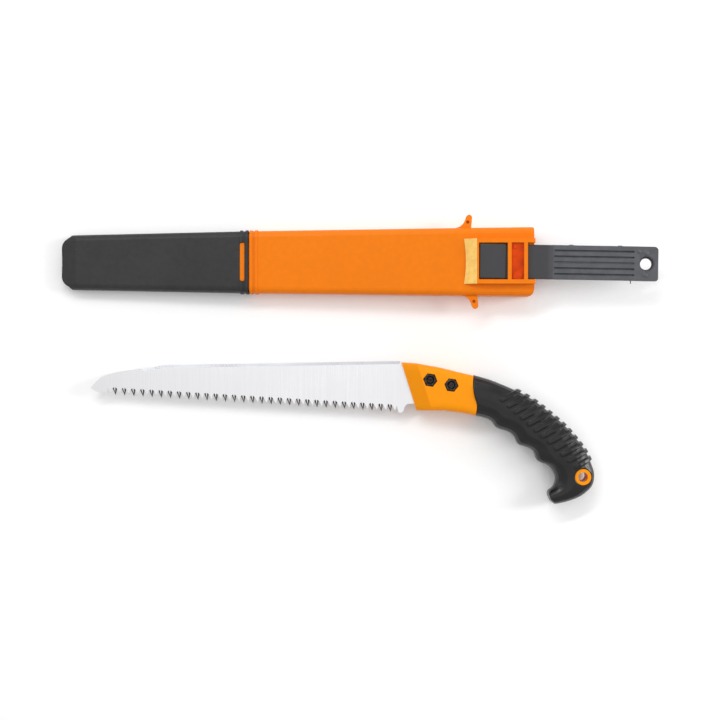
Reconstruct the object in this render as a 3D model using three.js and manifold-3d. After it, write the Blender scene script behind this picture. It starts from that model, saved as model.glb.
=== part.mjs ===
// A fixed-blade pull-cut pruning saw and its two-piece belt scabbard, side by side on a table.
//
// Millimetres, +Z up. The saw and the scabbard are each drawn in their own frame:
//   saw       origin on the front blade bolt, X towards the handle, Z = 0 on the blade's mid-plane
//   scabbard  origin in the middle of the mouth, X out of the mouth, Z = 0 on its flat back
// and both are then laid out with the origin of the whole at the bottom centre of their box.

import * as THREE from 'three';
import { mergeVertices } from 'three/addons/utils/BufferGeometryUtils.js';
import Module from 'manifold-3d';

const wasm = await Module();
wasm.setup();

// ---------------------------------------------------------------- driving dimensions

const GAP = 0.3; // air left between two pieces that touch

// Blade
const BLADE_LENGTH = 270; // collar to tip, along the spine
const BLADE_THICKNESS = 1.6;
const TOOTH_PITCH = 3.9; // along the tooth line
const TOOTH_DEPTH = 5.6;
const TOOTH_STEP = 1.3; // every second tooth is this much shorter
const TOOTH_LEAN = 1; // of a tip towards the handle
const TOOTH_SLOPE = THREE.MathUtils.degToRad(3.47); // the tooth line rises towards the nose
const SHOULDER = { x: -25.3, y: 16 }; // end of the spine, just ahead of the collar
const LAST_TIP = new THREE.Vector2(-33.2, -27.1); // the tooth nearest the handle
const HEEL = { x: -22, y: -28 }; // bottom of the untoothed heel, just ahead of the collar

// Collar, the front of the handle core
const COLLAR_THICKNESS = 24;
const COLLAR_FRONT_THICKNESS = 11; // at the blade, before the front facet rises
const FACET_LENGTH = 13;
const TANG_LENGTH = 29; // behind the front bolt
const BOLT_SPACING = new THREE.Vector2(17.9, -4.25); // front bolt to rear bolt
const BOLT_DIAMETER = 6;
const BOLT_HEAD_DIAMETER = 10.4;
const BOLT_HEAD_HEIGHT = 4;
const NUT_FLATS = 10;
const NUT_HEIGHT = 5;
const NUT_RECESS = 0.8; // nut and bolt head below the collar's face
const NUT_TURN = THREE.MathUtils.degToRad(-8.5);

// Grip
const GRIP_THICKNESS = 29; // over the ribs
const GRIP_HOOK_THICKNESS = 22;
const RIB_HEIGHT = 1.1; // above the sides
const RIB_CREST = 2; // above the back edge
const RIB_WIDTH = 3.4;
const RIB_COUNT = 12;
const RIB_ANGLE = THREE.MathUtils.degToRad(27.5);
const RIB_START = new THREE.Vector2(60.6, -16.5);
const RIB_STEP = new THREE.Vector2(5.66, -5.13);
const SPINE_THICKNESS = 14; // of the core inside the grip
const EYELET = new THREE.Vector2(128.9, -81.8);
const EYELET_DIAMETER = 13.6;
const EYELET_HOLE = 8.2;
const EYELET_HEIGHT = 22.6;

// Scabbard
const WALL = 2.2;
const SLEEVE_LENGTH = 240;
const BOOT_LENGTH = 159.8;
const JOINT_GAP = 0.9; // between the sleeve and the boot
const MOUTH_WIDTH = 58.4;
const JOINT_WIDTH = 52.4;
const TOE_WIDTH = 46;
const MOUTH_THICKNESS = COLLAR_THICKNESS + 2 * GAP + 2 * WALL;
const JOINT_THICKNESS = 22;
const TOE_THICKNESS = 16;
const TOE_TIP_THICKNESS = 11;
const TOE_SLOPE = 13; // length over which the front face falls at the toe
const TOE_CORNER = 11;
const EDGE_RADIUS = 5;
const NECK_LENGTH = 25;
const NECK_WALL = 1.8;
const RING_WIDTH = 2.2;
const RING_HEIGHT = 0.8;
const RING_PITCH = 4.6;
const SNAP_LENGTH = 32.7;
const SNAP_WIDTH = 4.4;
const EAR_THICKNESS = 3.6;
const EAR_DEPTH = 5.2; // below the front face
const EAR_HOLE = 2.8;
const EAR_HOLE_DEPTH = 2.8; // the hole is blind

// Strap and the housing that holds it
const STRAP_WIDTH = 28.9;
const STRAP_THICKNESS = 3.8;
const STRAP_LENGTH = 106.8; // outside the housing
const STRAP_TURN = THREE.MathUtils.degToRad(-1); // skew that its play in the channel allows
const TONGUE_THICKNESS = 2.6;
const FLEX_THICKNESS = 3;
const FLEX_LENGTH = 18.3;
const END_PLATE_LENGTH = 19;
const END_PLATE_THICKNESS = 7;
const STRAP_HOLE = 12.2;
const STRAP_HOLE_INSET = 9.8;
const STRAP_HOLE_LIP = 9.6; // narrower ring at the bottom of the hole
const STRAP_LIP_THICKNESS = 1.2;
const GROOVE_COUNT = 5;
const GROOVE_PITCH = 5.1;
const GROOVE_WIDTH = 1.5;
const GROOVE_DEPTH = 0.8;
const CHANNEL_PLAY = 1; // each side of the strap
const CHEEK = 3.5;
const HOUSING_HEIGHT = 6.6;
const RAMP_LENGTH = 10.6;
const FRONT_BAR = 1.7;
const PAD_WINDOW = 24.2;
const PAD_HEIGHT = 5;
const CROSS_BAR = 3.2;
const BRIDGE_WINDOW = 10.4;
const BRIDGE_FLOOR = 1.2;
const CHANNEL_END = 6; // the rear cross bar stops this far behind the mouth
const CHEEK_OVERHANG = 0.4;

// Layout
const SAW_PLACE = new THREE.Vector2(59.2, -17.1);
const SCABBARD_PLACE = new THREE.Vector2(146.6, 82.75);

// ---------------------------------------------------------------- solids

/** A closed mesh as a solid, turned the right way out. */
function solidOf(geometry) {
  const bare = new THREE.BufferGeometry();
  bare.setAttribute('position', geometry.getAttribute('position').clone());
  if (geometry.index) bare.setIndex(geometry.index);
  const merged = mergeVertices(bare, 1e-4);
  const triVerts = Uint32Array.from(merged.index.array);
  const vertProperties = Float32Array.from(merged.getAttribute('position').array);
  const solid = new wasm.Manifold(new wasm.Mesh({ numProp: 3, vertProperties, triVerts }));
  if (solid.volume() > 0) return solid;
  const turned = triVerts.slice();
  for (let i = 0; i < turned.length; i += 3) [turned[i], turned[i + 1]] = [turned[i + 1], turned[i]];
  return new wasm.Manifold(new wasm.Mesh({ numProp: 3, vertProperties, triVerts: turned }));
}

function geometryOf(solid) {
  const mesh = solid.getMesh();
  const geometry = new THREE.BufferGeometry();
  geometry.setAttribute('position', new THREE.BufferAttribute(mesh.vertProperties, 3));
  geometry.setIndex(new THREE.BufferAttribute(mesh.triVerts, 1));
  return geometry;
}

const join = (...solids) => solids.reduce((whole, piece) => whole.add(piece));
const cut = (whole, ...tools) => tools.reduce((rest, tool) => rest.subtract(tool), whole);

/** A flat shape in XY made into a solid from z0 to z1. */
function plate(shape, z0, z1, curveSegments = 6) {
  const settings = { depth: z1 - z0, bevelEnabled: false, curveSegments };
  return solidOf(new THREE.ExtrudeGeometry(shape, settings).translate(0, 0, z0));
}

function block(x0, x1, y0, y1, z0, z1) {
  const box = new THREE.BoxGeometry(x1 - x0, y1 - y0, z1 - z0);
  return solidOf(box.translate((x0 + x1) / 2, (y0 + y1) / 2, (z0 + z1) / 2));
}

/** An upright round, or with six sides a hexagon, of a given diameter over its corners. */
function disc(centre, diameter, z0, z1, sides = 32, turn = 0) {
  const round = new THREE.CylinderGeometry(diameter / 2, diameter / 2, z1 - z0, sides);
  round.rotateX(Math.PI / 2).rotateZ(turn + Math.PI / 2);
  return solidOf(round.translate(centre.x, centre.y, (z0 + z1) / 2));
}

const hexagon = (centre, flats, z0, z1) => disc(centre, flats / Math.cos(Math.PI / 6), z0, z1, 6, NUT_TURN);

/** Corners [x, y, round] as a shape, where round is how far the rounding reaches along each side. */
function outline(corners) {
  const shape = new THREE.Shape();
  corners.forEach(([x, y, round = 0], i) => {
    const corner = new THREE.Vector2(x, y);
    const towards = (other) => new THREE.Vector2(other[0] - x, other[1] - y).normalize();
    const before = corner.clone().addScaledVector(towards(corners.at(i - 1)), round);
    const after = corner.clone().addScaledVector(towards(corners[(i + 1) % corners.length]), round);
    if (i === 0) shape.moveTo(before.x, before.y);
    else shape.lineTo(before.x, before.y);
    if (round > 0) shape.quadraticCurveTo(x, y, after.x, after.y);
  });
  shape.closePath();
  return shape;
}

/** A bar with round ends, lying along a direction from its start. */
function stadium(start, angle, length, width) {
  const radius = width / 2;
  const end = start.clone().add(new THREE.Vector2(Math.cos(angle), Math.sin(angle)).multiplyScalar(length));
  const shape = new THREE.Shape();
  shape.absarc(start.x, start.y, radius, angle + Math.PI / 2, angle + 1.5 * Math.PI, false);
  shape.absarc(end.x, end.y, radius, angle - Math.PI / 2, angle + Math.PI / 2, false);
  return shape;
}

/** A solid through rings of equal length, closed by a fan at each end. */
function loft(rings) {
  const size = rings[0].length;
  const middles = [rings[0], rings.at(-1)].map((ring) =>
    ring.reduce((sum, point) => sum.add(point), new THREE.Vector3()).divideScalar(size));
  const points = [...rings.flat(), ...middles];
  const index = [];
  for (let r = 0; r + 1 < rings.length; r++) {
    for (let i = 0; i < size; i++) {
      const a = r * size + i;
      const b = r * size + ((i + 1) % size);
      index.push(a, b, a + size, b, b + size, a + size);
    }
  }
  const last = (rings.length - 1) * size;
  const [first, end] = [points.length - 2, points.length - 1];
  for (let i = 0; i < size; i++) {
    const next = (i + 1) % size;
    index.push(first, next, i, end, last + i, last + next);
  }
  const geometry = new THREE.BufferGeometry().setFromPoints(points);
  geometry.setIndex(index);
  return solidOf(geometry);
}

const group = new THREE.Group();

function addPiece(parent, name, solid, look) {
  const mesh = new THREE.Mesh(geometryOf(solid), new THREE.MeshStandardMaterial(look));
  mesh.name = name;
  parent.add(mesh);
  return mesh;
}

const ORANGE_PLASTIC = { color: 0xf08800, roughness: 0.4, metalness: 0 };
const CHARCOAL_PLASTIC = { color: 0x3c3c3c, roughness: 0.6, metalness: 0 };
const SLATE_PLASTIC = { color: 0x4a4a4e, roughness: 0.5, metalness: 0 };
const BLACK_RUBBER = { color: 0x1e1e20, roughness: 0.6, metalness: 0 };
const CHROMED_STEEL = { color: 0xdcdce0, roughness: 0.3, metalness: 1 };
const BLACKENED_STEEL = { color: 0x28282a, roughness: 0.45, metalness: 0.9 };

// ---------------------------------------------------------------- blade

// The teeth run from the last one towards the nose, in pairs, as far as the front edge below the tip.
const FRONT_EDGE = 12.4;
const TIP_X = SHOULDER.x + 7 - BLADE_LENGTH;
const TOOTH_PAIRS = Math.floor((LAST_TIP.x - TIP_X - FRONT_EDGE) / (2 * TOOTH_PITCH * Math.cos(TOOTH_SLOPE)));
const TOOTH_COUNT = 2 * TOOTH_PAIRS + 1;
const FIRST_TIP_Y = LAST_TIP.y + 2 * TOOTH_PAIRS * TOOTH_PITCH * Math.sin(TOOTH_SLOPE);
const TIP = { x: TIP_X, y: FIRST_TIP_Y + 5.6 };
const REAR_BOLT = BOLT_SPACING;
const FRONT_BOLT = new THREE.Vector2(0, 0);
const BOLTS = [FRONT_BOLT, REAR_BOLT];

/** The part of the blade inside the collar, grown by a clearance for the slot that takes it. */
function tangCorners(grow) {
  return [
    [HEEL.x + 3, -20.5 - grow],
    [-6, -19.5 - grow],
    [REAR_BOLT.x, -16.5 - grow],
    [TANG_LENGTH + grow, -12 - grow],
    [TANG_LENGTH - 2 + grow, 2.5 + grow],
    [8, 7 + grow],
    [SHOULDER.x + 1, 12.2 + grow],
  ];
}

function bladeShape() {
  const shape = new THREE.Shape();
  const nose = [[0, 0], [5.7, 6], [11.1, 10.1], [24.7, 13.6], [41.7, 16.1], [55, 18.2], [62.9, 19.5], [75, 19.7]];
  const curve = nose.map(([x, y]) => new THREE.Vector2(TIP.x + x, TIP.y + y));
  shape.moveTo(curve[0].x, curve[0].y);
  shape.splineThru(curve.slice(1));
  shape.lineTo(SHOULDER.x, SHOULDER.y);
  shape.quadraticCurveTo(SHOULDER.x + 1, SHOULDER.y, SHOULDER.x + 1, SHOULDER.y - 1);
  for (const [x, y] of tangCorners(0).reverse()) shape.lineTo(x, y);
  shape.lineTo(HEEL.x + 1, HEEL.y + 5.5);
  shape.quadraticCurveTo(HEEL.x, HEEL.y, HEEL.x - 3, HEEL.y);
  shape.lineTo(HEEL.x - 4.5, HEEL.y + 0.5);
  const back = new THREE.Vector2(-Math.cos(TOOTH_SLOPE), Math.sin(TOOTH_SLOPE));
  const up = new THREE.Vector2(back.y, -back.x);
  const spot = (along, rise) => LAST_TIP.clone().addScaledVector(back, along).addScaledVector(up, rise);
  for (let i = -1; i < TOOTH_COUNT; i++) {
    const tip = spot(i * TOOTH_PITCH, i % 2 ? TOOTH_STEP : 0);
    const gullet = spot((i - 0.5) * TOOTH_PITCH + TOOTH_LEAN, TOOTH_DEPTH);
    shape.lineTo(gullet.x, gullet.y);
    shape.lineTo(tip.x, tip.y);
  }
  const end = spot((TOOTH_COUNT - 0.5) * TOOTH_PITCH, TOOTH_DEPTH / 2);
  shape.lineTo(end.x, end.y);
  shape.lineTo(TIP.x + 8.7, TIP.y - 5);
  shape.closePath();
  return shape;
}

function blade() {
  const half = BLADE_THICKNESS / 2;
  const holes = BOLTS.map((at) => disc(at, BOLT_DIAMETER + 2 * GAP, -half - 1, half + 1));
  return cut(plate(bladeShape(), -half, half, 4), ...holes);
}

// ---------------------------------------------------------------- handle

/** Rungs [back x, back y, front x, front y, half thickness] across the collar, blade end first. */
const COLLAR_RUNGS = [
  [-24, 15, -11.2, -25.8, COLLAR_FRONT_THICKNESS / 2],
  [-24 + FACET_LENGTH, 14.1, -11.2 + FACET_LENGTH, -26.2, COLLAR_THICKNESS / 2],
  [8.5, 10.6, 12, -26.1, COLLAR_THICKNESS / 2],
  [25.5, 6.4, 27, -28, COLLAR_THICKNESS / 2],
  [36.6, 3.8, 38.3, -30.2, COLLAR_THICKNESS / 2],
  [44, 2, 45, -31.2, COLLAR_THICKNESS / 2],
];

/** Rungs [back x, back y, finger-side x, finger-side y] across the grip, collar end first. */
const GRIP_RUNGS = [
  [33, 5.3, 34, -29.6], [42.5, 2.8, 41, -30.8], [51, 0.3, 46.9, -32.3], [59.6, -3.1, 50.8, -33.9],
  [65.1, -5.3, 53.3, -36.1], [70.1, -7.5, 55.6, -39.8], [75.2, -9.7, 59.2, -41.6],
  [81.2, -12.9, 64.7, -43.2], [88.2, -17.2, 69.1, -45.6], [94.2, -21.4, 71.9, -48.8],
  [100.2, -26.2, 73.8, -53.3], [105.3, -30.6, 75.7, -55.1], [110.8, -35.1, 79.9, -56.3],
  [116.3, -40.3, 84.4, -58], [121.3, -45.9, 87.7, -60.3], [125.8, -51.4, 89.3, -64.4],
  [130.3, -57.2, 90.7, -67.8], [134.3, -63.9, 93.9, -69.9], [137.3, -71.5, 98.8, -71.8],
  [139.5, -78, 102.3, -74.3], [139.5, -84.6, 105.1, -78.1], [138, -89.4, 106.3, -82.3],
  [134.6, -93.6, 106, -86.5], [127.8, -98.7, 104.1, -90.6], [119.3, -102.2, 102.4, -92.1],
  [110.7, -104.5, 101.2, -92.8], [105.5, -105.1, 100.3, -94], [102.5, -102.7, 99.8, -95.6],
];
const EYELET_RUNG = 20; // crosses the eyelet, where the core's tongue ends inside its boss

/** A ring round one rung: squareness 2 is an ellipse, higher is nearer to a rectangle. */
function rungRing([ax, ay, bx, by, half], squareness, sides, grow = 0, growDeep = grow) {
  const a = new THREE.Vector2(ax, ay);
  const b = new THREE.Vector2(bx, by);
  const middle = a.clone().add(b).multiplyScalar(0.5);
  const reach = a.clone().sub(middle);
  reach.setLength(reach.length() + grow);
  const power = (value) => Math.sign(value) * Math.abs(value) ** (2 / squareness);
  return Array.from({ length: sides }, (_, i) => {
    const angle = (2 * Math.PI * i) / sides;
    const point = middle.clone().addScaledVector(reach, power(Math.cos(angle)));
    return new THREE.Vector3(point.x, point.y, (half + growDeep) * power(Math.sin(angle)));
  });
}

/** Rungs in between, on smooth rails through the given ones. */
function fillRungs(rungs, steps) {
  const rail = (pick) => new THREE.CatmullRomCurve3(rungs.map(pick));
  const back = rail(([x, y]) => new THREE.Vector3(x, y, 0));
  const front = rail(([, , x, y]) => new THREE.Vector3(x, y, 0));
  const count = (rungs.length - 1) * steps;
  return Array.from({ length: count + 1 }, (_, i) => {
    const a = back.getPoint(i / count);
    const b = front.getPoint(i / count);
    const low = Math.floor(i / steps);
    const high = Math.min(low + 1, rungs.length - 1);
    return [a.x, a.y, b.x, b.y, THREE.MathUtils.lerp(rungs[low][4], rungs[high][4], i / steps - low)];
  });
}

const gripBase = GRIP_THICKNESS / 2 - RIB_HEIGHT;
const gripHook = GRIP_HOOK_THICKNESS / 2;

/** Half the grip's thickness at a rung: full along the palm, thinner round the hook. */
function gripHalf(rung) {
  const along = THREE.MathUtils.clamp((rung - 14) / (GRIP_RUNGS.length - 15), 0, 1);
  return THREE.MathUtils.lerp(gripBase, gripHook, along ** 1.5);
}

function gripBody(grow, growDeep) {
  const rungs = GRIP_RUNGS.map((rung, i) => [...rung, gripHalf(i)]);
  return loft(fillRungs(rungs, 2).map((rung) => rungRing(rung, 2.6, 20, grow, growDeep)));
}

/** The core's tongue inside the grip, and with a clearance the hollow that it fills. */
function spine(grow) {
  const rungs = GRIP_RUNGS.slice(0, EYELET_RUNG + 1).map(([ax, ay, bx, by], i) => {
    const bend = Math.max(0, i - 12) / (EYELET_RUNG - 12);
    const share = THREE.MathUtils.lerp(0.5, 0.27, bend);
    const span = THREE.MathUtils.lerp(0.2, 0.14, bend);
    const at = (t) => [THREE.MathUtils.lerp(ax, bx, t), THREE.MathUtils.lerp(ay, by, t)];
    return [...at(share - span), ...at(share + span), SPINE_THICKNESS / 2];
  });
  return loft(rungs.map((rung) => rungRing(rung, 4, 12, grow)));
}

/** Everything on the blade's side of the S-shaped seam between collar and grip, moved by a shift. */
function collarSide(shift) {
  const seam = [[36.8, 30], [36.8, 12], [36.6, 3.8], [36, -1], [36.1, -6.8], [37.4, -14.5], [39.3, -21.3], [38.5, -30], [38, -38]];
  const points = seam.map(([x, y]) => new THREE.Vector2(x + shift, y));
  const shape = new THREE.Shape();
  shape.moveTo(-60, 30);
  shape.lineTo(points[0].x, points[0].y);
  shape.splineThru(points.slice(1));
  shape.lineTo(-60, -38);
  shape.closePath();
  return plate(shape, -30, 30, 3);
}

const collarFace = COLLAR_THICKNESS / 2;
const nutTop = collarFace - NUT_RECESS;
const nutSeat = nutTop - NUT_HEIGHT;
const headSeat = -collarFace + NUT_RECESS + BOLT_HEAD_HEIGHT;

function handleCore() {
  const collar = loft(COLLAR_RUNGS.map((rung) => rungRing(rung, 5, 32))).intersect(collarSide(0));
  const boss = disc(EYELET, EYELET_DIAMETER, -EYELET_HEIGHT / 2, EYELET_HEIGHT / 2, 36);
  const slotHalf = BLADE_THICKNESS / 2 + GAP;
  const slotShape = outline([[-40, -20.5 - GAP], ...tangCorners(GAP), [-40, 12.2 + GAP]]);
  const cuts = [plate(slotShape, -slotHalf, slotHalf)];
  for (const at of BOLTS) {
    cuts.push(disc(at, BOLT_DIAMETER + 2 * GAP, -20, 20));
    cuts.push(hexagon(at, NUT_FLATS + 2 * GAP, nutSeat - GAP, 20));
    cuts.push(disc(at, BOLT_HEAD_DIAMETER + 2 * GAP, -20, headSeat + GAP));
  }
  cuts.push(disc(EYELET, EYELET_HOLE, -20, 20));
  return cut(join(collar, spine(0), boss), ...cuts);
}

function grip() {
  const ribs = Array.from({ length: RIB_COUNT }, (_, i) => {
    const start = RIB_START.clone().addScaledVector(RIB_STEP, i);
    return plate(stadium(start, RIB_ANGLE, 45, RIB_WIDTH), -30, 30, 4);
  });
  const raised = gripBody(RIB_CREST, RIB_HEIGHT).intersect(join(...ribs));
  const bossHole = disc(EYELET, EYELET_DIAMETER + 2 * GAP, -30, 30, 36);
  return cut(join(gripBody(0, 0), raised), collarSide(GAP), spine(GAP), bossHole);
}

function bolt(at) {
  const socket = hexagon(at, NUT_FLATS / 2, -20, headSeat - BOLT_HEAD_HEIGHT / 2);
  const head = disc(at, BOLT_HEAD_DIAMETER, headSeat - BOLT_HEAD_HEIGHT, headSeat);
  const shank = disc(at, BOLT_DIAMETER, headSeat - 1, nutTop - NUT_RECESS);
  return cut(join(head, shank), socket);
}

function nut(at) {
  return cut(hexagon(at, NUT_FLATS, nutSeat, nutTop), disc(at, BOLT_DIAMETER + 2 * GAP, -20, 20));
}

const saw = new THREE.Group();
addPiece(saw, 'blade', blade(), CHROMED_STEEL);
addPiece(saw, 'handle_core', handleCore(), ORANGE_PLASTIC);
addPiece(saw, 'grip', grip(), BLACK_RUBBER);
addPiece(saw, 'bolt_front', bolt(FRONT_BOLT), BLACKENED_STEEL);
addPiece(saw, 'bolt_rear', bolt(REAR_BOLT), BLACKENED_STEEL);
addPiece(saw, 'nut_front', nut(FRONT_BOLT), BLACKENED_STEEL);
addPiece(saw, 'nut_rear', nut(REAR_BOLT), BLACKENED_STEEL);
saw.position.set(SAW_PLACE.x, SAW_PLACE.y, GRIP_THICKNESS / 2);
group.add(saw);

// ---------------------------------------------------------------- scabbard

const JOINT = -SLEEVE_LENGTH - JOINT_GAP / 2;
const BOOT_MOUTH = -SLEEVE_LENGTH - JOINT_GAP;
const TOE = BOOT_MOUTH - BOOT_LENGTH;
const HOUSING_END = CHEEK_OVERHANG;
const BAR_REAR = -CHANNEL_END;
const BRIDGE_REAR = BAR_REAR - CROSS_BAR;
const BRIDGE_FRONT = BRIDGE_REAR - BRIDGE_WINDOW;
const PAD_WINDOW_REAR = BRIDGE_FRONT - CROSS_BAR;
const PAD_WINDOW_FRONT = PAD_WINDOW_REAR - PAD_WINDOW;
const HOUSING_FRONT = PAD_WINDOW_FRONT - FRONT_BAR;
const RAMP_FRONT = HOUSING_FRONT - RAMP_LENGTH;
const FLAT_FRONT = RAMP_FRONT - 4; // from here to the mouth the front face is level

/** Stations [x, width, thickness] of the outside, mouth first. */
const PROFILE = [
  [0, MOUTH_WIDTH, MOUTH_THICKNESS],
  [FLAT_FRONT, THREE.MathUtils.lerp(MOUTH_WIDTH, JOINT_WIDTH, FLAT_FRONT / JOINT), MOUTH_THICKNESS],
  [JOINT, JOINT_WIDTH, JOINT_THICKNESS],
  [TOE + TOE_SLOPE, THREE.MathUtils.lerp(TOE_WIDTH, JOINT_WIDTH, TOE_SLOPE / BOOT_LENGTH), TOE_THICKNESS],
  [TOE, TOE_WIDTH, TOE_TIP_THICKNESS],
];

/** Width and thickness of the outside at any x. */
function outsideAt(x) {
  let i = 0;
  while (i + 2 < PROFILE.length && PROFILE[i + 1][0] > x) i++;
  const [from, to] = [PROFILE[i], PROFILE[i + 1]];
  const t = (x - from[0]) / (to[0] - from[0]);
  return [THREE.MathUtils.lerp(from[1], to[1], t), THREE.MathUtils.lerp(from[2], to[2], t)];
}

/** A solid that follows the outside between two stations, drawn in by an inset all round. */
function follow(xStart, xEnd, inset) {
  const between = PROFILE.map(([x]) => x).filter((x) => x < xStart && x > xEnd);
  return loft([xStart, ...between, xEnd].map((x) => {
    const [width, thickness] = outsideAt(x);
    const [y, low, high] = [width / 2 - inset, inset, thickness - inset];
    const r = Math.min(Math.max(EDGE_RADIUS - inset, 1), (high - low) / 2 - 0.1);
    const ring = [];
    for (const [cy, cz, from] of [[y - r, high - r, 0], [r - y, high - r, 1], [r - y, low + r, 2], [y - r, low + r, 3]]) {
      for (let i = 0; i <= 4; i++) {
        const angle = ((from + i / 4) * Math.PI) / 2;
        ring.push(new THREE.Vector3(x, cy + r * Math.cos(angle), cz + r * Math.sin(angle)));
      }
    }
    return ring;
  }));
}

/** A raised ring round the front and sides; the back stays flat. */
function ring(x) {
  const above = block(x - 5, x + 5, -MOUTH_WIDTH, MOUTH_WIDTH, 0, 2 * MOUTH_THICKNESS);
  return follow(x + RING_WIDTH / 2, x - RING_WIDTH / 2, -RING_HEIGHT).intersect(above);
}

const SNAP_X = BOOT_MOUTH - RING_PITCH - 0.7;
const snapSlot = (grow) => outline([
  [SNAP_X - SNAP_WIDTH / 2 - grow, -SNAP_LENGTH / 2 - grow, 1.4],
  [SNAP_X + SNAP_WIDTH / 2 + grow, -SNAP_LENGTH / 2 - grow, 1.4],
  [SNAP_X + SNAP_WIDTH / 2 + grow, SNAP_LENGTH / 2 + grow, 1.4],
  [SNAP_X - SNAP_WIDTH / 2 - grow, SNAP_LENGTH / 2 + grow, 1.4],
]);

function toeBoot() {
  const end = TOE_WIDTH / 2;
  const plan = outline([
    [BOOT_MOUTH, -MOUTH_WIDTH], [BOOT_MOUTH, MOUTH_WIDTH],
    [TOE + TOE_CORNER, MOUTH_WIDTH], [TOE + TOE_CORNER, end + 0.4, 6],
    [TOE, end - TOE_CORNER * 0.55, 6], [TOE + 0.6, 0, 6], [TOE, TOE_CORNER * 0.55 - end, 6],
    [TOE + TOE_CORNER, -end - 0.4, 6], [TOE + TOE_CORNER, -MOUTH_WIDTH],
  ]);
  const rings = [BOOT_MOUTH - RING_WIDTH / 2 - 0.4, BOOT_MOUTH - RING_WIDTH / 2 - 0.4 - RING_PITCH];
  const outside = join(follow(BOOT_MOUTH, TOE, 0), ...rings.map(ring)).intersect(plate(plan, 0, MOUTH_THICKNESS));
  const hollow = follow(BOOT_MOUTH + 1, TOE + TOE_CORNER + WALL, WALL);
  const slot = plate(snapSlot(0), -1, MOUTH_THICKNESS);
  return cut(outside, hollow, slot);
}

/** A cord lug with a blind hole on one long edge: side 1 or -1, and the x of its hole. */
function ear(side, x) {
  const edge = outsideAt(x)[0] / 2;
  const shape = new THREE.Shape();
  shape.moveTo(x - 12, side * (edge - 1));
  shape.lineTo(x - 10, side * edge);
  shape.quadraticCurveTo(x - 3.4, side * (edge + 1.2), x - 1.5, side * (edge + 9));
  shape.quadraticCurveTo(x - 0.5, side * (edge + 11.4), x + 1.5, side * (edge + 11.2));
  shape.quadraticCurveTo(x + 3.8, side * (edge + 10.6), x + 3.6, side * (edge + 8));
  shape.lineTo(x + 2.8, side * (edge - 1));
  shape.closePath();
  const top = MOUTH_THICKNESS - EAR_DEPTH;
  const lug = plate(shape, top - EAR_THICKNESS, top);
  return cut(lug, disc({ x, y: side * (edge + 4.9) }, EAR_HOLE, top - EAR_HOLE_DEPTH, MOUTH_THICKNESS, 16));
}

const FRONT_FACE = MOUTH_THICKNESS;
const CHANNEL_HEIGHT = TONGUE_THICKNESS + GAP + 0.5;
const CHANNEL_HALF = STRAP_WIDTH / 2 + CHANNEL_PLAY;
const HOUSING_HALF = CHANNEL_HALF + CHEEK;
const HOUSING_TOP = FRONT_FACE + HOUSING_HEIGHT;

/** The channel that takes the strap's tongue, with a ramp ahead of it and two windows on top. */
function housing() {
  const across = (x0, x1, half, z0, z1) => block(x0, x1, -half, half, z0, z1);
  const side = outline([
    [RAMP_FRONT, -0.5], [RAMP_FRONT, 0], [HOUSING_FRONT, HOUSING_HEIGHT, 1], [HOUSING_END, HOUSING_HEIGHT, 0.6],
    [HOUSING_END, 0], [-WALL, 0], [-WALL, -0.5],
  ]);
  const settings = { depth: 2 * HOUSING_HALF, bevelEnabled: false, curveSegments: 4 };
  const profile = new THREE.ExtrudeGeometry(side, settings).rotateX(Math.PI / 2);
  const solid = solidOf(profile.translate(0, HOUSING_HALF, FRONT_FACE));
  const plan = new THREE.Shape();
  plan.moveTo(RAMP_FRONT, -HOUSING_HALF - 1);
  plan.quadraticCurveTo(RAMP_FRONT + 3.4, 0, RAMP_FRONT, HOUSING_HALF + 1);
  plan.lineTo(HOUSING_END + 1, HOUSING_HALF + 1);
  plan.lineTo(HOUSING_END + 1, -HOUSING_HALF - 1);
  plan.closePath();
  const bridge = FRONT_FACE + CHANNEL_HEIGHT;
  const body = cut(
    solid.intersect(plate(plan, 0, 2 * FRONT_FACE)),
    across(PAD_WINDOW_FRONT, HOUSING_END + 1, CHANNEL_HALF, FRONT_FACE, bridge),
    across(PAD_WINDOW_FRONT, PAD_WINDOW_REAR, CHANNEL_HALF, FRONT_FACE, HOUSING_TOP + 1),
    across(BRIDGE_FRONT, BRIDGE_REAR, CHANNEL_HALF, bridge + BRIDGE_FLOOR, HOUSING_TOP + 1),
    across(BAR_REAR, HOUSING_END + 1, CHANNEL_HALF, FRONT_FACE, HOUSING_TOP + 1),
  );
  const knob = (x, y, diameter) => disc({ x, y }, diameter, bridge + 0.5, bridge + BRIDGE_FLOOR + 1, 20);
  return join(body, knob(BRIDGE_FRONT + 3, 12, 3), knob(BRIDGE_FRONT + 5, -12.5, 7.5));
}

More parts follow.
